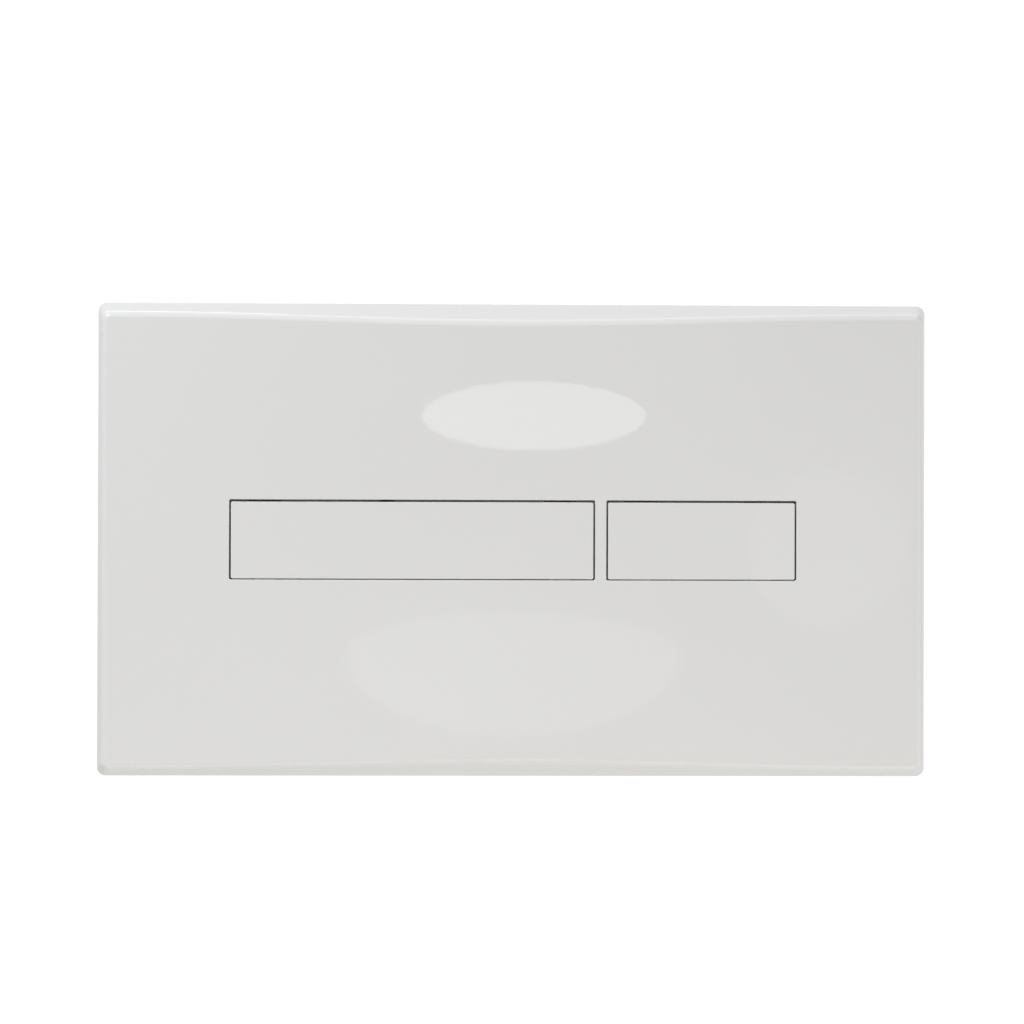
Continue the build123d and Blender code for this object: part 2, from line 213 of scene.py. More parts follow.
def apply_modifier(piece, kind, **settings):
    """Adds a modifier with its settings and applies it."""
    make_active(piece)
    modifier = piece.modifiers.new(kind.lower(), kind)
    for label, value in settings.items():
        setattr(modifier, label, value)
    bpy.ops.object.modifier_apply(modifier=modifier.name)


def place_in_mesh(piece):
    """Puts a piece's place, turn and scale into its mesh."""
    make_active(piece)
    bpy.ops.object.transform_apply(location=True, rotation=True, scale=True)


def smooth(piece, degrees):
    """Smooth shading with sharp edges kept above an angle."""
    make_active(piece)
    bpy.ops.object.shade_smooth_by_angle(angle=radians(degrees))


def join(name, pieces):
    """Joins pieces into one."""
    clear_selection()
    for piece in pieces:
        piece.select_set(True)
    bpy.context.view_layer.objects.active = pieces[0]
    bpy.ops.object.join()
    pieces[0].name = name
    return pieces[0]


def ring(name, place, radius, sides, upright=False):
    """A round of edges about a place, level or facing along Y."""
    clear_selection()
    turn = (pi / 2, 0, 0) if upright else (0, 0, 0)
    bpy.ops.mesh.primitive_circle_add(vertices=sides, radius=radius, location=place, rotation=turn)
    piece = bpy.context.object
    piece.name = name
    bpy.ops.object.transform_apply(location=False, rotation=True, scale=True)
    return piece


def disc(name, radius, sides=96):
    """A flat round face at the origin."""
    clear_selection()
    bpy.ops.mesh.primitive_circle_add(vertices=sides, radius=radius, fill_type="NGON")
    piece = bpy.context.object
    piece.name = name
    return piece


def turned(name, x, z, profile, sides=48):
    """A turned piece on an axis along Y: a ring run back through (radius, y) steps, closed at both ends."""
    radius, y = profile[0]
    piece = ring(name, (x, y, z), radius, sides, upright=True)
    place_in_mesh(piece)
    open_mesh(piece)
    for next_radius, next_y in profile[1:]:
        bpy.ops.mesh.extrude_region_move(TRANSFORM_OT_translate={"value": (0, next_y - y, 0)})
        if next_radius != radius:
            ratio = next_radius / radius
            bpy.ops.transform.resize(value=(ratio, 1, ratio), center_override=(x, next_y, z))
        radius, y = next_radius, next_y
    close_mesh()
    close_ends(piece)
    return piece


# Finishes

# The range that most of a noise texture's values lie in
NOISE_RANGE = (0.3, 0.7)

# Mouldings: scales of the flow, the specks and the polish, and the flow's share of the tone
FLOW_SCALE = 14.0
SPECK_SCALE = 2600.0
POLISH_SCALE = 60.0
FLOW_SHARE = 0.75

# Metal: scales of the drawn lines and the clouds, and the clouds' share of the roughness
DRAWN_SCALE = 1500.0
CLOUD_SCALE = 160.0
CLOUD_SHARE = 0.4

# Painted shade on the keys' upper stops, seen through the gap above the keys where the real stops lie in shade:
# its lower and upper edge, half width, depth behind the front, soft edge and near-black colour
GAP_SHADE_EDGES = (0.01135, 0.0119)
GAP_SHADE_REACH = 0.085
GAP_SHADE_DEPTH = 0.001
GAP_SHADE_FADE = 0.00004
GAP_SHADE_TONE = (0.012, 0.012, 0.012, 1)

# Each finish: its surface group, the factor of its dark tone, the strength and height of its bumps, how
# metallic it is, and the group's other inputs
FINISHES = {
    "white_gloss": {
        "group": "moulded_surface", "dark": 0.985, "bump": 0.08, "relief": 0.00002, "metallic": 0.0,
        "inputs": {"Smooth": 0.012, "Dull": 0.02, "Texture Scale": 420.0},
    },
    "grey_moulding": {
        "group": "moulded_surface", "dark": 0.9, "bump": 0.25, "relief": 0.00008, "metallic": 0.0,
        "inputs": {"Smooth": 0.42, "Dull": 0.55, "Texture Scale": 2400.0},
    },
    "black_moulding": {
        "group": "moulded_surface", "dark": 0.75, "bump": 0.25, "relief": 0.00008, "metallic": 0.0,
        "inputs": {"Smooth": 0.38, "Dull": 0.5, "Texture Scale": 2400.0},
    },
    "plated_steel": {
        "group": "metal_surface", "dark": 0.82, "bump": 0.1, "relief": 0.00002, "metallic": 1.0,
        "inputs": {"Smooth": 0.22, "Dull": 0.38, "Stretch": (1.0, 0.15, 1.0)},
    },
    "spring_steel": {
        "group": "metal_surface", "dark": 0.8, "bump": 0.1, "relief": 0.00002, "metallic": 1.0,
        "inputs": {"Smooth": 0.2, "Dull": 0.34, "Stretch": (1.0, 1.0, 1.0)},
    },
}


class FlushFinishes(bpy.types.PropertyGroup):
    """Colours of the plate's materials."""

    white_gloss: colour("White", "Colour of the gloss mouldings", (0.775, 0.772, 0.757))
    grey_moulding: colour("Grey", "Colour of the mounting frame", (0.36, 0.37, 0.38))
    black_moulding: colour("Black", "Colour of the caps and fixing nuts", (0.022, 0.022, 0.024))
    plated_steel: colour("Zinc", "Colour of the plated steel", (0.66, 0.67, 0.68))
    spring_steel: colour("Spring wire", "Colour of the spring steel", (0.42, 0.42, 0.43))


def new_group(name, inputs, outputs):
    """An empty shader node group with float, vector and colour sockets."""
    tree = bpy.data.node_groups.new(name, "ShaderNodeTree")
    for label, kind in inputs.items():
        tree.interface.new_socket(label, in_out="INPUT", socket_type="NodeSocket" + kind)
    for label, kind in outputs.items():
        tree.interface.new_socket(label, in_out="OUTPUT", socket_type="NodeSocket" + kind)
    return tree, tree.nodes.new("NodeGroupInput").outputs, tree.nodes.new("NodeGroupOutput").inputs


def feed(tree, socket, value):
    """Links another socket to a socket, or sets it to a number."""
    if isinstance(value, (int, float)):
        socket.default_value = value
    else:
        tree.links.new(value, socket)


def noise(tree, vector, scale, detail, roughness=0.5):
    """A noise texture on given coordinates; scale is a number or a socket."""
    node = tree.nodes.new("ShaderNodeTexNoise")
    node.inputs["Detail"].default_value = detail
    node.inputs["Roughness"].default_value = roughness
    tree.links.new(vector, node.inputs["Vector"])
    feed(tree, node.inputs["Scale"], scale)
    return node.outputs["Fac"]


def spread(tree, source, low, high):
    """Maps noise from its usual middle range to low..high."""
    node = tree.nodes.new("ShaderNodeMapRange")
    node.inputs["From Min"].default_value, node.inputs["From Max"].default_value = NOISE_RANGE
    tree.links.new(source, node.inputs["Value"])
    feed(tree, node.inputs["To Min"], low)
    feed(tree, node.inputs["To Max"], high)
    return node.outputs["Result"]


def ramp(tree, source, start, end):
    """A smooth rise from nought at one value of a socket to one at another."""
    node = tree.nodes.new("ShaderNodeMapRange")
    node.interpolation_type = "SMOOTHSTEP"
    node.inputs["From Min"].default_value = start
    node.inputs["From Max"].default_value = end
    tree.links.new(source, node.inputs["Value"])
    return node.outputs["Result"]


def math_node(tree, operation, first, second):
    """One math node on two sockets or numbers."""
    node = tree.nodes.new("ShaderNodeMath")
    node.operation = operation
    feed(tree, node.inputs[0], first)
    feed(tree, node.inputs[1], second)
    return node.outputs["Value"]


def shared(tree, first, second, share):
    """The sum of a share of one value and the rest of another."""
    rest = math_node(tree, "MULTIPLY", second, 1 - share)
    return math_node(tree, "ADD", math_node(tree, "MULTIPLY", first, share), rest)


def colour_mix(tree, factor, first):
    """A mix node between a colour and another, which is still to be set."""
    node = tree.nodes.new("ShaderNodeMix")
    node.data_type = "RGBA"
    tree.links.new(factor, node.inputs["Factor"])
    tree.links.new(first, node.inputs["A"])
    return node


def surface_group(name, **inputs):
    """A group that takes coordinates, two tones and two degrees of polish, and gives a material's surface."""
    tones = {"Light Tone": "Color", "Dark Tone": "Color"}
    polish = {"Smooth": "Float", "Dull": "Float"}
    outputs = {"Color": "Color", "Roughness": "Float", "Height": "Float"}
    return new_group(name, {"Vector": "Vector"} | tones | polish | inputs, outputs)


def set_tone(tree, given, made, source):
    """Colours a surface between its two tones by a noise."""
    tone_mix = colour_mix(tree, spread(tree, source, 0.0, 1.0), given["Dark Tone"])
    tree.links.new(given["Light Tone"], tone_mix.inputs["B"])
    tree.links.new(tone_mix.outputs["Result"], made["Color"])


def moulded_surface_group():
    """Flow shading, polish variation and surface texture of an injection moulding."""
    tree, given, made = surface_group("moulded_surface", **{"Texture Scale": "Float"})
    vector = given["Vector"]
    flow = noise(tree, vector, FLOW_SCALE, detail=2.0)
    speck = noise(tree, vector, SPECK_SCALE, detail=1.0)
    set_tone(tree, given, made, shared(tree, flow, speck, FLOW_SHARE))
    polish = noise(tree, vector, POLISH_SCALE, detail=3.0)
    tree.links.new(spread(tree, polish, given["Smooth"], given["Dull"]), made["Roughness"])
    tree.links.new(noise(tree, vector, given["Texture Scale"], detail=2.0), made["Height"])
    return tree


def metal_surface_group():
    """Crystal tone, drawn scratches and roughness of plated or drawn steel."""
    tree, given, made = surface_group("metal_surface", Stretch="Vector")
    stretch = tree.nodes.new("ShaderNodeVectorMath")
    stretch.operation = "MULTIPLY"
    tree.links.new(given["Vector"], stretch.inputs[0])
    tree.links.new(given["Stretch"], stretch.inputs[1])
    drawn = noise(tree, stretch.outputs["Vector"], DRAWN_SCALE, detail=2.0)
    cloud = noise(tree, given["Vector"], CLOUD_SCALE, detail=4.0, roughness=0.6)
    set_tone(tree, given, made, cloud)
    mixed = shared(tree, cloud, drawn, CLOUD_SHARE)
    tree.links.new(spread(tree, mixed, given["Smooth"], given["Dull"]), made["Roughness"])
    tree.links.new(drawn, made["Height"])
    return tree


def painted_gap_shade_group():
    """Paints shade: darkens a colour to near black on the strip of the keys' stops that lies deep in the gap above
    them.
    """
    tree, given, made = new_group("gap_dust", {"Vector": "Vector", "Color": "Color"}, {"Color": "Color"})
    place = tree.nodes.new("ShaderNodeSeparateXYZ")
    tree.links.new(given["Vector"], place.inputs["Vector"])
    x, y, z = place.outputs
    crown = math_node(tree, "DIVIDE", math_node(tree, "MULTIPLY", x, x), 2 * CROWN_RADIUS)
    depth = math_node(tree, "SUBTRACT", math_node(tree, "SUBTRACT", y, crown_y(0)), crown)
    low, high = GAP_SHADE_EDGES
    mask = ramp(tree, depth, GAP_SHADE_DEPTH, GAP_SHADE_DEPTH + GAP_SHADE_FADE)
    mask = math_node(tree, "MULTIPLY", mask, ramp(tree, z, low, low + GAP_SHADE_FADE))
    mask = math_node(tree, "MULTIPLY", mask, ramp(tree, z, high, high - GAP_SHADE_FADE))
    aside = math_node(tree, "ABSOLUTE", x, 0)
    mask = math_node(tree, "MULTIPLY", mask, ramp(tree, aside, GAP_SHADE_REACH, GAP_SHADE_REACH - GAP_SHADE_FADE))
    # Painted shade: the masked strip of the stops turns near black
    shaded = colour_mix(tree, mask, given["Color"])
    shaded.inputs["B"].default_value = GAP_SHADE_TONE
    tree.links.new(shaded.outputs["Result"], made["Color"])
    return tree


def finish_material(name, group, inputs, bump, relief, metallic=0.0, dust=None):
    """A Principled material with the colour, roughness and bumps of a surface group, perhaps with painted shade
    laid over its colour.
    """
    material = bpy.data.materials.new(name)
    material.use_nodes = True
    tree = material.node_tree
    shader = tree.nodes["Principled BSDF"]
    shader.inputs["Metallic"].default_value = metallic
    coords = tree.nodes.new("ShaderNodeTexCoord").outputs["Object"]
    surface = tree.nodes.new("ShaderNodeGroup")
    surface.node_tree = group
    for label, value in inputs.items():
        surface.inputs[label].default_value = value
    tree.links.new(coords, surface.inputs["Vector"])
    bumps = tree.nodes.new("ShaderNodeBump")
    bumps.inputs["Strength"].default_value = bump
    bumps.inputs["Distance"].default_value = relief
    tree.links.new(surface.outputs["Height"], bumps.inputs["Height"])
    base = surface.outputs["Color"]
    # Painted shade: a second group darkens the colour where shade falls in the gap above the keys
    if dust:
        shaded = tree.nodes.new("ShaderNodeGroup")
        shaded.node_tree = dust
        tree.links.new(coords, shaded.inputs["Vector"])
        tree.links.new(base, shaded.inputs["Color"])
        base = shaded.outputs["Color"]
    tree.links.new(base, shader.inputs["Base Color"])
    tree.links.new(surface.outputs["Roughness"], shader.inputs["Roughness"])
    tree.links.new(bumps.outputs["Normal"], shader.inputs["Normal"])
    return material


def tone(base, factor=1.0):
    """A colour setting as four channels, darkened by a factor."""
    return tuple(min(1.0, channel * factor) for channel in base) + (1.0,)


def dress(piece, material):
    """Gives a piece one material."""
    piece.data.materials.clear()
    piece.data.materials.append(material)


class FLUSH_OT_finishes(bpy.types.Operator):
    """Makes the plate's materials and puts them on the carried-over nodes."""

    bl_idname = "flush.finishes"
    bl_label = "Finish the mouldings and metal"

    def execute(self, context):
        groups = {group.name: group for group in (moulded_surface_group(), metal_surface_group())}
        # Painted shade for the gloss white: near black on the keys' stops deep in the gap above them
        dust = painted_gap_shade_group()
        for slot, finish in FINISHES.items():
            base = getattr(context.scene.flush_finishes, slot)
            tones = {"Light Tone": tone(base), "Dark Tone": tone(base, finish["dark"])}
            finish_material(
                slot + "_finish", groups[finish["group"]], tones | finish["inputs"], finish["bump"],
                finish["relief"], finish["metallic"], dust if slot == "white_gloss" else None)
        for entry in frame["record"]["subparts"]:
            dress(frame["nodes"][entry["node"]], bpy.data.materials[entry["material_slot"] + "_finish"])
        return {"FINISHED"}


# Cover plate

# How far inside the rim the front's net ends before it moves out to the outline, and the bands inside the rim
# that hold the outline and the sides
NET_INSET_X = 0.002
NET_INSET_Z = 0.0048
OUTLINE_BAND_X = 0.0035
OUTLINE_BAND_Z = 0.00675

# A depth that all of the sides lie within, and how near the wall their front edges come at most
SIDE_REACH = 0.02
SIDE_FRONT = -0.004

# Steps of the rounded corners and of the rounded outline, and the angle that stays sharp
CORNER_STEPS = 8
OUTLINE_STEPS = 6
COVER_ANGLE = 35

# A face whose normal has a Y below the first counts as front, and one whose Y is smaller than the second as
# steep. An edge with more than the third share of its length along Y runs to the wall.
FRONT_FACING = -0.97
STEEP_FACING = 0.6
LENGTHWISE = 0.8

# Tolerances for points that are one, and for points on a plane, on the front, at the rim, on a window's wall
# and on the skin
MERGE = 0.000002
ON_PLANE = 0.000001
ON_FRONT = 0.000005
AT_RIM = 0.00001
ON_WALL = 0.00002
ON_SKIN = 0.00006


def key_windows():
    """X of the windows' ends, from the left: the keys' ends and the gap beside them."""
    return [end for side in SIDES for end in span(side + "_key", X, KEY_GAP)]


class FlushCover(bpy.types.PropertyGroup):
    """Shape of the cover plate."""

    width: length("Width", "Overall width at the wall", extent("cover_plate", X))
    height: length("Height", "Overall height at the wall", extent("cover_plate", Z))
    wall: length("Wall", "Thickness of the moulding", 0.0023)
    upper_inset: lengths(
        "Upper inset", "How far the front's upper edge lies inside the rim, at its ends and middle",
        (0.0034, 0.00594))
    lower_inset: lengths(
        "Lower inset", "How far the front's lower edge lies inside the rim, at its ends and middle",
        (0.00234, 0.00468))
    swell_width: length("Swell width", "Width of the swell along the long edges", 0.236)
    short_draft: angle("Short draft", "Slope of the left and right sides", 12)
    corner_radius: length("Corner radius", "Rounding of the four corners", 0.0025)
    front_radius: length("Front radius", "Rounding of the front's outline", 0.00175)
    window_height: length("Window height", "Height of the key windows", 0.0239)
    window_ends: lengths("Window ends", "Ends of the two windows, from the left", key_windows())
    window_margin: length("Window margin", "From the windows to the front's net", 0.0009)
    column: length("Column", "Greatest width of a face of the front's net", 0.003)
    row: length("Row", "Greatest height of a face of the front's net", 0.004)


def edge_z(cover, x, side):
    """Height of the front's upper or lower edge, which draws in towards the middle of the plate."""
    swell = cos(pi * min(abs(x), cover.swell_width / 2) / cover.swell_width) ** 2
    ends, middle = cover.upper_inset if side > 0 else cover.lower_inset
    return side * (cover.height / 2 - ends - (middle - ends) * swell)


def net_lines(stops, step):
    """Stops and equal steps between them, without the first and last stop."""
    lines = []
    for low, high in zip(stops, stops[1:]):
        parts = ceil((high - low) / step)
        lines += [low + (high - low) * part / parts for part in range(parts)]
    return lines[1:]


def net_reach(cover):
    """X and Z where the front's net ends before it moves out to the outline."""
    return cover.width / 2 - NET_INSET_X, cover.height / 2 - NET_INSET_Z


def upright_lines(cover):
    """X of the net's upright lines, and of the ends of the openings around the windows."""
    half_x = net_reach(cover)[0]
    ends = [end + way * cover.window_margin for end, way in zip(cover.window_ends, (-1, 1, -1, 1))]
    return net_lines([-half_x, *ends, half_x], cover.column), ends


def window_band(cover):
    """Half the height of the openings around the windows."""
    return cover.window_height / 2 + cover.window_margin


def cut_all(place, way):
    """In edit mode, cuts all faces where a plane crosses them."""
    bpy.ops.mesh.select_all(action="SELECT")
    bpy.ops.mesh.bisect(plane_co=place, plane_no=way)


def cover_sheet(cover):
    """The front as a net of faces, open around both windows."""
    half_x, half_z = net_reach(cover)
    band = window_band(cover)
    uprights, ends = upright_lines(cover)
    clear_selection()
    bpy.ops.mesh.primitive_plane_add(size=1, rotation=(pi / 2, 0, 0))
    sheet = bpy.context.object
    place_in_mesh(sheet)
    open_mesh(sheet)
    bpy.ops.transform.resize(value=(2 * half_x, 1, 2 * half_z), center_override=(0, 0, 0))
    for x in uprights:
        cut_all((x, 0, 0), (1, 0, 0))
    for z in net_lines([-half_z, -band, band, half_z], cover.row):
        cut_all((0, 0, z), (0, 0, 1))

    def in_window(face):
        middle = face.calc_center_median()
        across = ends[0] < middle.x < ends[1] or ends[2] < middle.x < ends[3]
        return across and abs(middle.z) < band

    pick(sheet, "faces", in_window)
    bpy.ops.mesh.delete(type="FACE")
    close_mesh()
    for vertex in sheet.data.vertices:
        x, _, z = vertex.co
        if abs(x) > half_x - ON_PLANE:
            x = copysign(cover.width / 2 + crown_y(half_x) * tan(cover.short_draft), x)
        if abs(z) > half_z - ON_PLANE:
            z = edge_z(cover, x, copysign(1, z))
        vertex.co = (x, crown_y(x), z)
    return sheet


def beyond(cover, vertex):
    """Whether a vertex lies in the bands of the outline and the sides, along X and along Z."""
    far_x = abs(vertex.co.x) > cover.width / 2 - OUTLINE_BAND_X
    far_z = abs(vertex.co.z) > cover.height / 2 - OUTLINE_BAND_Z
    return far_x, far_z


def all_outer(cover, edge):
    """True for an edge of the front's outline or of the sides."""
    return all(any(beyond(cover, vertex)) for vertex in edge.verts)


def draw_sides(cover, sheet):
    """Draws the outline back to the wall along the drafted sides."""
    open_mesh(sheet)
    pick(sheet, "edges", lambda edge: edge.is_boundary and all_outer(cover, edge))
    bpy.ops.mesh.extrude_edges_move(TRANSFORM_OT_translate={"value": (0, SIDE_REACH, 0)})
    bpy.ops.transform.resize(value=(1, 0, 1), center_override=(0, 0, 0))

    def at_wall(vertex, axis, side):
        is_far = beyond(cover, vertex)[0 if axis == X else 1]
        return vertex.co.y > -ON_PLANE and is_far and side * vertex.co[axis] > 0

    for side in (-1, 1):
        pick(sheet, "verts", lambda vertex: at_wall(vertex, Z, side))
        bpy.ops.transform.resize(value=(1, 1, 0), center_override=(0, 0, side * cover.height / 2))
        pick(sheet, "verts", lambda vertex: at_wall(vertex, X, side))
        bpy.ops.transform.resize(value=(0, 1, 1), center_override=(side * cover.width / 2, 0, 0))
    face_outwards()
    close_mesh()


def front_to_steep(edge):
    """True for an edge between a front face and a steep one."""
    if len(edge.link_faces) != 2:
        return False
    front = [face for face in edge.link_faces if face.normal.y < FRONT_FACING]
    steep = [face for face in edge.link_faces if abs(face.normal.y) < STEEP_FACING]
    return len(front) == 1 and len(steep) == 1


def round_edges(sheet, rule, radius, steps):
    """Rounds the edges that pass a rule."""
    pick(sheet, "edges", rule)
    bpy.ops.mesh.bevel(
        offset_type="OFFSET", offset=radius, segments=steps, profile=0.5, affect="EDGES", clamp_overlap=False)


def round_cover(cover, sheet):
    """Rounds the four corners and the front's outline."""

    def plate_corner(edge):
        way = edge.verts[0].co - edge.verts[1].co
        at_corner = all(all(beyond(cover, vertex)) for vertex in edge.verts)
        return at_corner and abs(way.y) > LENGTHWISE * way.length

    def outline(edge):
        return front_to_steep(edge) and all_outer(cover, edge) and edge.verts[0].co.y < SIDE_FRONT

    open_mesh(sheet)
    round_edges(sheet, plate_corner, cover.corner_radius, CORNER_STEPS)
    round_edges(sheet, outline, cover.front_radius, OUTLINE_STEPS)
    close_mesh()


def bend(piece, way):
    """Bends a piece along the crown, or lays it flat."""
    for vertex in piece.data.vertices:
        vertex.co.y += way * crown_y(vertex.co.x)


def divide_windows(cover, piece):
    """Cuts the windows' walls at the net's upright lines, with the crown laid flat, so that they match."""
    band = window_band(cover)
    uprights, ends = upright_lines(cover)

    def wall(vertex):
        x, y, z = vertex.co
        return y < cover.wall + ON_WALL and abs(z) < band and ends[0] < x < ends[3]

    bend(piece, -1)
    open_mesh(piece)
    for x in uprights:
        pick(piece, "faces", lambda face: all(map(wall, face.verts)))
        bpy.ops.mesh.bisect(plane_co=(x, 0, 0), plane_no=(1, 0, 0))
    close_mesh()
    bend(piece, 1)


def inner_form(cover):
    """The window walls and all that lies behind the skin, from a merged copy of the cover's solid."""
    piece = bpy.data.objects.new("cover_inside", frame["nodes"]["cover_plate"].data.copy())
    bpy.context.scene.collection.objects.link(piece)
    open_mesh(piece)
    bpy.ops.mesh.customdata_custom_splitnormals_clear()
    bpy.ops.mesh.remove_doubles(threshold=MERGE)

    def outside(face):
        depths = [vertex.co.y - crown_y(vertex.co.x) for vertex in face.verts]
        on_front = max(depths) < ON_FRONT
        on_side = min(depths) < cover.wall - ON_SKIN and any(any(beyond(cover, v)) for v in face.verts)
        on_rim = min(vertex.co.y for vertex in face.verts) > -AT_RIM
        return on_front or on_side or on_rim

    pick(piece, "faces", outside)
    bpy.ops.mesh.delete(type="FACE")
    close_mesh()
    divide_windows(cover, piece)
    return piece


def close_ring(piece, rule):
    """Fills the ring between the two open loops whose vertices pass a rule."""
    open_mesh(piece)
    pick(piece, "edges", lambda edge: edge.is_boundary and all(map(rule, edge.verts)))
    bpy.ops.mesh.fill(use_beauty=True)
    bpy.ops.mesh.beautify_fill(angle_limit=pi)
    close_mesh()


class FLUSH_OT_cover(bpy.types.Operator):
    """Models the cover plate: a crowned front with bowed long edges, drafted sides and the solid's inside."""

    bl_idname = "flush.cover"
    bl_label = "Model the cover plate"

    def execute(self, context):
        cover = context.scene.flush_cover
        sheet = cover_sheet(cover)
        draw_sides(cover, sheet)
        round_cover(cover, sheet)
        piece = join("cover_moulding", [sheet, inner_form(cover)])
        close_ring(piece, lambda vertex: vertex.co.y > -AT_RIM)
        bend(piece, -1)
        bar = (cover.window_ends[1] + cover.window_ends[2]) / 2
        close_ring(piece, lambda vertex: vertex.co.x < bar)
        close_ring(piece, lambda vertex: vertex.co.x > bar)
        bend(piece, 1)
        open_mesh(piece)
        face_outwards()
        close_mesh()
        smooth(piece, COVER_ANGLE)
        apply_modifier(piece, "WEIGHTED_NORMAL", keep_sharp=True, weight=60)
        dress(piece, bpy.data.materials["white_gloss_finish"])
        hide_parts("cover_plate")
        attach(piece, "plate")
        return {"FINISHED"}


# Springs

# Sides of the wire's section, steps in one turn of each kind of spring, and the angle that stays sharp
WIRE_SIDES = 12
ROD_SPRING_STEPS = 36
RETURN_SPRING_STEPS = 32
WIRE_ANGLE = 50

# Rise of a rod spring's closed turn, in wires
CLOSED_RISE = 1.04


class FlushSprings(bpy.types.PropertyGroup):
    """Sizes of the rod springs and the keys' return springs."""

    rod_wire: length("Rod spring wire", "Wire of the rod springs", 0.00085)
    rod_radius: length("Rod spring radius", "Mean radius of the rod springs", 0.0069)
    rod_front: length("Rod spring front", "Where the rod springs meet the caps", -0.00395)
    rod_back: length("Rod spring back", "Where the rod springs meet the cups", 0.00895)
    rod_turns: count("Rod spring turns", "Turns with one closed turn at each end", 6, least=3)
    return_wire: length("Return spring wire", "Wire of the return springs", 0.0007)
    return_radius: length("Return spring radius", "Mean radius of the return springs", 0.002)
    return_turns: count("Return spring turns", "Turns of the return springs", 4, least=1)
    return_pitch: length("Return spring pitch", "Rise of the return springs in one turn", 0.00085)
    return_leg: length("Return spring leg", "Length of the return springs' legs", 0.010)
    long_start: length("Long start", "First turn of the long key's return spring", -0.0679)
    short_start: length("Short start", "First turn of the short key's return spring", 0.0447)


def wound(name, place, axis, offset, section, turns, rise, steps):
    """A ring of a wire's section, moved off a place and wound round an axis through it."""
    piece = ring(name, place, section, WIRE_SIDES)
    open_mesh(piece)
    bpy.ops.transform.translate(value=offset)
    close_mesh()
    apply_modifier(
        piece, "SCREW", axis=axis, angle=2 * pi * turns, screw_offset=rise, steps=turns * steps,
        render_steps=turns * steps, use_smooth_shade=True)
    place_in_mesh(piece)
    return piece


def rod_spring(springs, name, x, z):
    """A round-wire compression spring about a push rod, with a closed turn at each end."""
    wire, turns = springs.rod_wire, springs.rod_turns
    start = springs.rod_front + wire / 2
    rise = springs.rod_back - wire / 2 - start
    piece = wound(
        name, (x, start, z), "Y", (springs.rod_radius, 0, 0), wire / 2, turns, rise, ROD_SPRING_STEPS)
    closed = CLOSED_RISE * wire
    pitch = (rise - 2 * closed) / (turns - 2)
    for vertex in piece.data.vertices:
        phase = atan2(z - vertex.co.z, vertex.co.x - x) / (2 * pi) % 1
        even = (vertex.co.y - start) * turns / rise
        turn = round(even - phase) + phase
        first, last = min(turn, 1), max(turn - turns + 1, 0)
        between = min(max(turn - 1, 0), turns - 2)
        vertex.co.y += (first + last) * closed + between * pitch - turn * rise / turns
    close_ends(piece)
    smooth(piece, WIRE_ANGLE)
    return piece


def return_spring(springs, name, start, y, z):
    """A round-wire torsion spring on a hinge pin, one leg down to the cover and the other up to the key."""
    wire, turns = springs.return_wire, springs.return_turns
    end = start + turns * springs.return_pitch
    piece = wound(
        name, (start, y, z), "X", (0, springs.return_radius, 0), wire / 2, turns, end - start,
        RETURN_SPRING_STEPS)

    def open_end(edge, x):
        return edge.is_boundary and all(abs(vertex.co.x - x) < wire for vertex in edge.verts)

    open_mesh(piece)
    for x, way in ((start, -1), (end, 1)):
        pick(piece, "edges", lambda edge: open_end(edge, x))
        bpy.ops.mesh.extrude_edges_move(TRANSFORM_OT_translate={"value": (0, 0, way * springs.return_leg)})
    close_mesh()
    close_ends(piece)
    smooth(piece, WIRE_ANGLE)
    return piece, end


class FLUSH_OT_springs(bpy.types.Operator):
    """Winds the rod springs and the keys' return springs from round wire."""

    bl_idname = "flush.springs"
    bl_label = "Wind the springs"

    def execute(self, context):
        springs = context.scene.flush_springs
        finish = bpy.data.materials["spring_steel_finish"]
        for side in SIDES:
            x, z = rod_axis(side)
            coil = rod_spring(springs, side + "_rod_coil", x, z)
            dress(coil, finish)
            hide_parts(side + "_rod_spring")
            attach(coil, "plate")
            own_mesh(coil)
            _, y, z = joint(side + "_key_hinge")["pos_m"]
            start = getattr(springs, side + "_start")
            torsion, end = return_spring(springs, side + "_return_coil", start, y, z)
            dress(torsion, finish)
            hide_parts(side + "_return_spring")
            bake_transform(torsion)
        return {"FINISHED"}


# Rods and nuts

# Steps in one turn of a thread, half its ridge's width as a share of the pitch, and how many chamfers' length
# of a tip stays plain
THREAD_STEPS = 32
THREAD_FLANK = 0.48
TIP_PLAIN = 1.4

# Lock nuts: sides of the turned form, the end face's share of the width over the flats, the slope of the
# turned corners, and how much longer than the nut the hexagon is that cuts its flats
NUT_SIDES = 72
NUT_FACE = 0.96
NUT_SLOPE = radians(30)
PRISM_OVERLAP = 0.001

# The angle that stays sharp
ROD_ANGLE = 40


class FlushRods(bpy.types.PropertyGroup):
    """Sizes of the threaded rods and lock nuts."""

    radius: length("Radius", "Radius of the rods over the thread", 0.003)
    thread_depth: length("Thread depth", "Depth of the rods' thread", 0.00055)
    pitch: length("Pitch", "Pitch of the rods' thread", 0.001)
    stud_radius: length("Stud radius", "Radius of the fixing rods' front studs", 0.002)
    stud_pitch: length("Stud pitch", "Pitch of the front studs' thread", 0.0007)
    chamfer: length("Chamfer", "Chamfer of the rods' tips", 0.0006)
    push_span: lengths("Push rod span", "Front and back of the push rods", span("long_push_rod", Y))
    groove: lengths(
        "Groove", "Front and back of the clip's groove", span("long_retaining_clip", Y, CLIP_PLAY))
    plain_tail: length("Plain tail", "From the groove to the push rods' thread", 0.004)
    fixing_x: length("Fixing offset", "From the middle to each fixing rod", 0.102)
    fixing_span: lengths("Fixing rod span", "Front and back of the fixing rods", span("fixing_rods", Y))
    plain_shank: length("Plain shank", "From the wall's plane to the fixing rods' shank thread", 0.003)
    nut_flats: length("Nut flats", "Width over the lock nuts' flats", extent("long_lock_nut", Z))
    nut_span: lengths("Nut span", "Front and back of the lock nuts", span("long_lock_nut", Y))


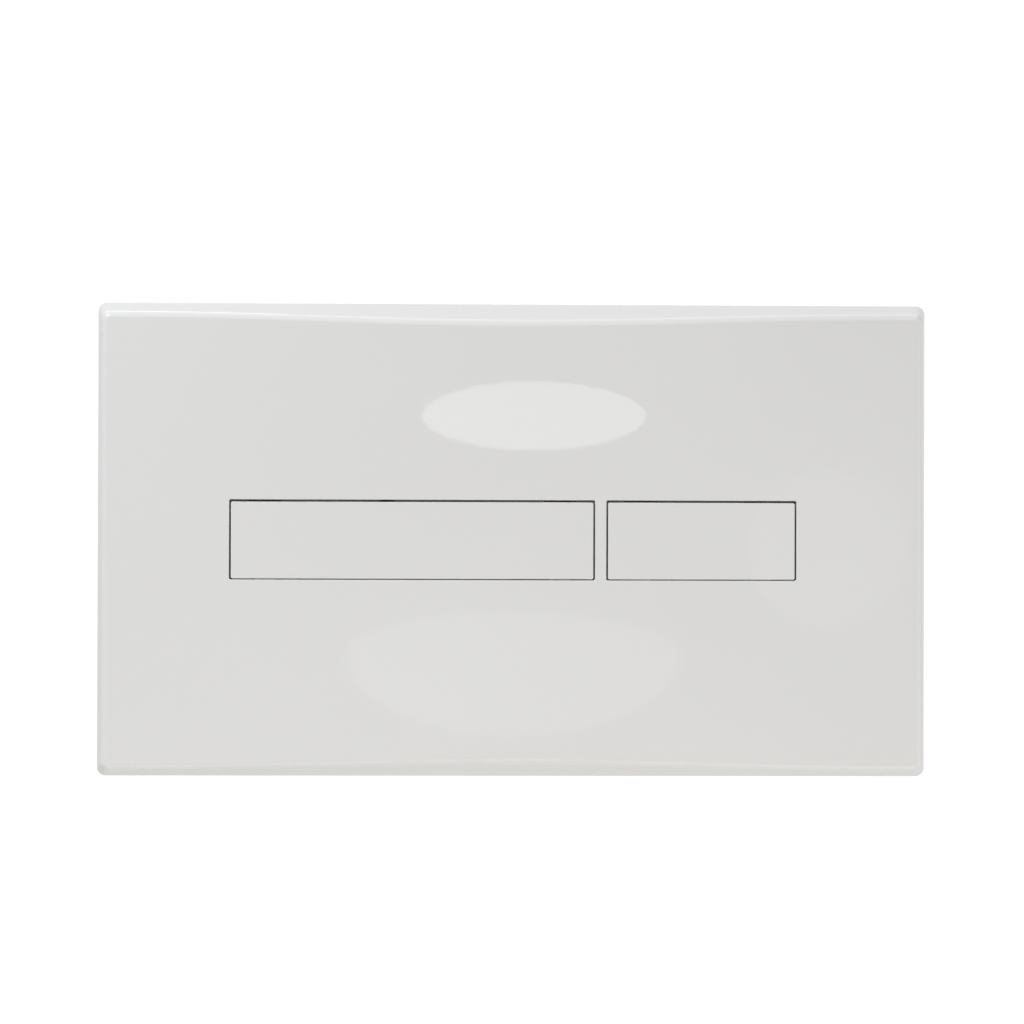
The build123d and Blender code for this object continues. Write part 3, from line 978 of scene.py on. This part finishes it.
def thread(name, x, z, start, end, radius, depth, pitch):
    """A screw thread's ridge about an axis along Y, its inner half sunk in the core."""
    turns = int((end - start) / pitch)
    piece = ring(name, (x, start, z), depth, sides=4)
    open_mesh(piece)
    bpy.ops.transform.resize(value=(1, THREAD_FLANK * pitch / depth, 1), center_override=(x, start, z))
    bpy.ops.transform.translate(value=(radius - depth, 0, 0))
    close_mesh()
    steps = turns * THREAD_STEPS
    apply_modifier(
        piece, "SCREW", axis="Y", angle=2 * pi * turns, screw_offset=turns * pitch, steps=steps,
        render_steps=steps)
    place_in_mesh(piece)
    close_ends(piece)
    return piece


def push_rod(rods, name, x, z):
    """A push rod with a plain guided length, a groove for its clip and a threaded tail."""
    full, cut, depth = rods.radius, rods.chamfer, rods.thread_depth
    core = full - depth
    front, back = rods.push_span
    groove_front, groove_back = rods.groove
    tail = groove_back + rods.plain_tail
    body = turned(name, x, z, [
        (full - cut, front), (full, front + cut),
        (full, groove_front), (full - cut, groove_front), (full - cut, groove_back), (full, groove_back),
        (full, tail - depth), (core, tail),
        (core, back - cut), (core - cut / 2, back)])
    ridge = thread(name + "_thread", x, z, tail, back - TIP_PLAIN * cut, full, depth, rods.pitch)
    return join(name, [body, ridge])


def fixing_rod(rods, name, x):
    """A fixing rod: a threaded stud through the frame and a threaded shank into the wall."""
    full, cut, depth, plain = rods.radius, rods.chamfer, rods.thread_depth, rods.plain_shank
    stud_full, stud_pitch = rods.stud_radius, rods.stud_pitch
    stud_depth = depth * stud_pitch / rods.pitch
    stud, core = stud_full - stud_depth, full - depth
    front, back = rods.fixing_span
    body = turned(name, x, 0, [
        (stud - cut / 2, front), (stud, front + cut / 2),
        (stud, 0), (full, 0), (full, plain), (core, plain + depth),
        (core, back - cut), (core - cut / 2, back)])
    ridges = [
        thread(name + "_stud", x, 0, front + cut, -stud_pitch, stud_full, stud_depth, stud_pitch),
        thread(name + "_shank", x, 0, plain + 2 * depth, back - TIP_PLAIN * cut, full, depth, rods.pitch)]
    return join(name, [body, *ridges])


def lock_nut(rods, name, x, z):
    """A hexagon nut whose corners are turned off at both ends."""
    front, back = rods.nut_span
    corner = rods.nut_flats / sqrt(3)
    face = rods.nut_flats / 2 * NUT_FACE
    slope = (corner - face) * tan(NUT_SLOPE)
    profile = [(face, front), (corner, front + slope), (corner, back - slope), (face, back)]
    nut = turned(name, x, z, profile, NUT_SIDES)
    clear_selection()
    bpy.ops.mesh.primitive_cylinder_add(
        vertices=6, radius=corner, depth=back - front + PRISM_OVERLAP, location=(x, (front + back) / 2, z),
        rotation=(pi / 2, 0, 0))
    prism = bpy.context.object
    place_in_mesh(prism)
    apply_modifier(nut, "BOOLEAN", operation="INTERSECT", object=prism, solver="EXACT")
    bpy.data.objects.remove(prism)
    return nut


class FLUSH_OT_rods(bpy.types.Operator):
    """Models the threaded push rods and fixing rods and the lock nuts."""

    bl_idname = "flush.rods"
    bl_label = "Model the rods and nuts"

    def execute(self, context):
        rods = context.scene.flush_rods
        made = []
        for side in SIDES:
            x, z = rod_axis(side)
            made.append((push_rod(rods, side + "_push_bar", x, z), side + "_push_rod", side + "_push_rod"))
            made.append((lock_nut(rods, side + "_hex_nut", x, z), side + "_lock_nut", side + "_push_rod"))
        pair = [fixing_rod(rods, "fixing_bar", way * rods.fixing_x) for way in (-1, 1)]
        made.append((join("fixing_bars", pair), "fixing_rods", "plate"))
        for piece, node, body in made:
            smooth(piece, ROD_ANGLE)
            dress(piece, bpy.data.materials["plated_steel_finish"])
            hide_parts(node)
            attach(piece, body)
        return {"FINISHED"}


# Studio

SENSOR_WIDTH = 36.0
CLIP_START = 0.01
WHITE = (1, 1, 1, 1)
BLACK = (0, 0, 0, 1)

FLOOR_SURFACE = {
    "Light Tone": (0.74, 0.74, 0.73, 1), "Dark Tone": (0.71, 0.71, 0.70, 1),
    "Smooth": 0.5, "Dull": 0.65, "Texture Scale": 300.0,
}
FLOOR_BUMP = 0.1
FLOOR_RELIEF = 0.0002

# Where the gloss front mirrors each lamp: middle, and width and height on the plate. Then the share of the
# height that lies above the widest line, and the radiance.
MIRRORED_LAMPS = {
    "upper_lamp": {"middle": (0.006, 0.0371), "size": (0.067, 0.0204), "above": 0.5, "radiance": 2.75},
    "lower_lamp": {"middle": (0.0, -0.04), "size": (0.1005, 0.037), "above": 0.34, "radiance": 1.08},
    "right_lamp": {"middle": (0.0945, -0.0023), "size": (0.049, 0.0475), "above": 0.5, "radiance": 0.96},
}

# Soft lights, whose power is the setting of the same name: place, width and height, setting of the colour,
# the kind of ray that doesn't see them, and whether they lie level along X instead of facing the plate
SOFT_LIGHTS = {
    "key_light": {"place": (-0.55, -0.38, 0.62), "size": (0.25, 0.25), "tint": "key_colour"},
    "table_light": {"place": (0.0, -0.35, -0.5), "size": (0.9, 0.5), "tint": "table_colour"},
    "fill_light": {
        "place": (0.45, -0.4, -0.5), "size": (0.7, 0.5), "tint": "table_colour", "unseen": "glossy"},
    "left_strip": {"place": (-0.5, 0.38, 0.85), "size": (0.8, 0.36), "unseen": "diffuse", "is_level": True},
    "right_strip": {"place": (0.3, 0.38, 0.85), "size": (0.8, 0.36), "unseen": "diffuse", "is_level": True},
    "top_panel": {"place": (0.0, -0.42, 0.9), "size": (1.6, 1.5), "unseen": "diffuse"},
    "left_panel": {"place": (-0.94, -0.34, 0.1), "size": (1.2, 1.2), "unseen": "diffuse"},
    "right_panel": {"place": (0.94, -0.34, 0.0), "size": (1.2, 1.2), "unseen": "diffuse"},
    "left_glow": {"place": (-0.8, 0.08, -0.12), "size": (0.3, 0.3), "unseen": "glossy"},
    "low_glow": {"place": (0.0, 0.08, -0.6), "size": (0.9, 0.2), "unseen": "glossy"},
}


class FlushStudio(bpy.types.PropertyGroup):
    """Camera, floor and light."""

    lens: bpy.props.FloatProperty(
        name="Lens", description="Focal length in millimetres", default=120.0, min=20, unit="CAMERA")
    distance: length("Distance", "From the camera to the plate", 1.0224)
    azimuth: angle("Azimuth", "How far round the camera stands from square on", -1.588)
    elevation: angle("Elevation", "How far above level the camera stands", -0.409)
    roll: angle("Roll", "Turn of the camera about its own axis", 0.167)
    aim: lengths("Aim", "Point that the camera looks at", (-0.00039, -0.010, 0.00842))
    seen: level("Seen", "Brightness of the surround to the camera", 1.05)
    surround: level("Surround", "Mean light from all round", 0.6585)
    overhead: level("Overhead", "How much lighter it is above than level", 0.1495)
    backdrop: level("Backdrop", "How much lighter it is behind the plate than beside it", 0.102)
    aside: level("Aside", "How much lighter it is on the right than in the middle", 0.11)
    key_light: power("Key light", "Power of the soft light at the upper left", 2.9)
    key_colour: colour("Key colour", "Colour of the soft light at the upper left", (0.97, 0.99, 1.07))
    table_light: power("Table light", "Power of the wide light below", 1.35)
    table_colour: colour("Table colour", "Colour of the wide lights below", (1.02, 0.99, 0.94))
    fill_light: power("Fill light", "Power of the wide light at the lower right", 0.656)
    left_strip: power("Left strip", "Power of the strip that the upper edge mirrors at the left", 2.2)
    right_strip: power("Right strip", "Power of the strip that the upper edge mirrors at the right", 1.2)
    top_panel: power("Top panel", "Power of the panel that the upper edge's rounding mirrors", 9.5)
    left_panel: power("Left panel", "Power of the panel that the left edge's rounding mirrors", 1.6)
    right_panel: power("Right panel", "Power of the panel that the right edge's rounding mirrors", 4.6)
    left_glow: power("Left glow", "Power of the light that grazes the left side", 0.2)
    low_glow: power("Low glow", "Power of the light that grazes the lower side", 0.17)
    floor_drop: length("Floor drop", "From the plate's middle down to the floor", 0.62)
    floor_radius: length("Floor radius", "Radius of the round floor", 2.9)
    lamp_distance: length("Lamp distance", "From the plate to the small lamps that the gloss mirrors", 1.6)


def place_camera(studio):
    """The camera, turned about the aim and rolled about its own axis."""
    lens = bpy.data.cameras.new("camera")
    lens.lens = studio.lens
    lens.sensor_width = SENSOR_WIDTH
    lens.clip_start = CLIP_START
    camera = bpy.data.objects.new("camera", lens)
    bpy.context.scene.collection.objects.link(camera)
    away = Vector((
        sin(studio.azimuth) * cos(studio.elevation),
        -cos(studio.azimuth) * cos(studio.elevation),
        sin(studio.elevation)))
    camera.location = Vector(studio.aim) + away * studio.distance
    look = (-away).to_track_quat("-Z", "Y").to_matrix()
    camera.rotation_euler = (look @ Matrix.Rotation(studio.roll, 3, "Z")).to_euler()
    bpy.context.scene.camera = camera
    return camera


def mirrored_ray(eye, x, z):
    """The point on the front at x and z, and the way that the gloss sends the camera's ray on from there."""
    point = Vector((x, crown_y(x), z))
    normal = Vector((x, point.y - CROWN_AXIS_Y, 0)).normalized()
    sight = (point - eye).normalized()
    return point, sight - 2 * sight.dot(normal) * normal


def hang_lamp(name, eye, distance, middle, size, above, radiance):
    """A glowing oval disc, sized and placed so that the front mirrors it at the given spot."""
    x, z = middle
    width, height = size
    top, bottom = z + height / 2, z - height / 2
    widest = top - above * height
    point, ray = mirrored_ray(eye, x, widest)
    centre = point + ray * distance

    def reach(to_x, to_z):
        start, way = mirrored_ray(eye, to_x, to_z)
        return (start + way * ((centre - start).dot(ray) / way.dot(ray)) - centre).length

    lamp = disc(name, 1)
    open_mesh(lamp)
    bpy.ops.transform.resize(value=(reach(x + width / 2, widest), 1, 1), center_override=(0, 0, 0))
    pick(lamp, "verts", lambda vertex: vertex.co.y > 0)
    bpy.ops.transform.resize(value=(1, reach(x, top), 1), center_override=(0, 0, 0))
    pick(lamp, "verts", lambda vertex: vertex.co.y < 0)
    bpy.ops.transform.resize(value=(1, reach(x, bottom), 1), center_override=(0, 0, 0))
    close_mesh()
    lamp.location = centre
    lamp.rotation_euler = ray.to_track_quat("Z", "Y").to_euler()
    place_in_mesh(lamp)
    glow = bpy.data.materials.new(name + "_glow")
    glow.use_nodes = True
    shader = glow.node_tree.nodes["Principled BSDF"]
    shader.inputs["Base Color"].default_value = BLACK
    shader.inputs["Emission Color"].default_value = WHITE
    shader.inputs["Emission Strength"].default_value = radiance
    dress(lamp, glow)
    lamp.visible_camera = False


def hang_soft_light(studio, name, place, size, tint=None, unseen=None, is_level=False):
    """A soft rectangular light at a place, turned to the plate or level along X."""
    light = bpy.data.lights.new(name, "AREA")
    light.shape = "RECTANGLE"
    light.size, light.size_y = size
    light.energy = getattr(studio, name)
    if tint:
        light.color = getattr(studio, tint)
    holder = bpy.data.objects.new(name, light)
    holder.location = place
    x, y, z = place
    back = Vector((0.0 if is_level else x, y, z))
    holder.rotation_euler = back.to_track_quat("Z", "Y").to_euler()
    holder.visible_camera = False
    if unseen:
        setattr(holder, "visible_" + unseen, False)
    bpy.context.scene.collection.objects.link(holder)


def white_surround(studio):
    """White to the camera, and as light a mean level that changes upwards, backwards and to the right."""
    world = bpy.data.worlds.new("surround")
    world.use_nodes = True
    tree = world.node_tree
    links = tree.links
    coords = tree.nodes.new("ShaderNodeTexCoord")
    slope = tree.nodes.new("ShaderNodeVectorMath")
    slope.operation = "DOT_PRODUCT"
    slope.inputs[1].default_value = (studio.aside, studio.backdrop, studio.overhead)
    links.new(coords.outputs["Generated"], slope.inputs[0])
    lit = tree.nodes["Background"]
    lit.inputs["Color"].default_value = WHITE
    links.new(math_node(tree, "ADD", slope.outputs["Value"], studio.surround), lit.inputs["Strength"])
    seen = tree.nodes.new("ShaderNodeBackground")
    seen.inputs["Color"].default_value = WHITE
    seen.inputs["Strength"].default_value = studio.seen
    path = tree.nodes.new("ShaderNodeLightPath")
    mix = tree.nodes.new("ShaderNodeMixShader")
    links.new(path.outputs["Is Camera Ray"], mix.inputs["Fac"])
    links.new(lit.outputs["Background"], mix.inputs[1])
    links.new(seen.outputs["Background"], mix.inputs[2])
    links.new(mix.outputs["Shader"], tree.nodes["World Output"].inputs["Surface"])
    bpy.context.scene.world = world


def lay_floor(studio):
    """A round pale floor well below the plate."""
    floor = disc("floor", studio.floor_radius)
    floor.location.z = -studio.floor_drop
    place_in_mesh(floor)
    surface = bpy.data.node_groups["moulded_surface"]
    dress(floor, finish_material("floor_finish", surface, FLOOR_SURFACE, FLOOR_BUMP, FLOOR_RELIEF))
    floor.visible_diffuse = False
    floor.visible_glossy = False


class FLUSH_OT_studio(bpy.types.Operator):
    """Sets the floor, the white surround, the lights and the camera."""

    bl_idname = "flush.studio"
    bl_label = "Set up the studio"

    def execute(self, context):
        studio = context.scene.flush_studio
        context.scene.view_settings.view_transform = "Standard"
        context.scene.view_settings.look = "None"
        camera = place_camera(studio)
        white_surround(studio)
        lay_floor(studio)
        for name, light in SOFT_LIGHTS.items():
            hang_soft_light(studio, name, **light)
        for name, lamp in MIRRORED_LAMPS.items():
            hang_lamp(name, camera.location, studio.lamp_distance, **lamp)
        return {"FINISHED"}


# The add-on


class FLUSH_PT_panel(bpy.types.Panel):
    """Lists the steps and the sizes and colours that they read."""

    bl_idname = "FLUSH_PT_panel"
    bl_label = "Flush plate"
    bl_space_type = "VIEW_3D"
    bl_region_type = "UI"
    bl_category = "Flush plate"

    def draw(self, context):
        for operator in STEPS:
            self.layout.operator(operator.bl_idname)
        for name, group in GROUPS.items():
            box = self.layout.box()
            for setting in group.__annotations__:
                box.prop(getattr(context.scene, name), setting)


STEPS = (FLUSH_OT_finishes, FLUSH_OT_cover, FLUSH_OT_springs, FLUSH_OT_rods, FLUSH_OT_studio)
GROUPS = {
    "flush_finishes": FlushFinishes,
    "flush_cover": FlushCover,
    "flush_springs": FlushSprings,
    "flush_rods": FlushRods,
    "flush_studio": FlushStudio,
}
CLASSES = (*GROUPS.values(), *STEPS, FLUSH_PT_panel)


def register():
    """Registers the classes and gives the scene their settings."""
    for item in CLASSES:
        bpy.utils.register_class(item)
    for name, group in GROUPS.items():
        setattr(bpy.types.Scene, name, bpy.props.PointerProperty(type=group))


def unregister():
    """Takes the settings and the classes away again."""
    for name in GROUPS:
        delattr(bpy.types.Scene, name)
    for item in reversed(CLASSES):
        bpy.utils.unregister_class(item)


def main():
    """Runs the steps in order."""
    register()
    bpy.ops.flush.finishes()
    bpy.ops.flush.cover()
    bpy.ops.flush.springs()
    bpy.ops.flush.rods()
    bpy.ops.flush.studio()


if __name__ == "__main__":
    main()
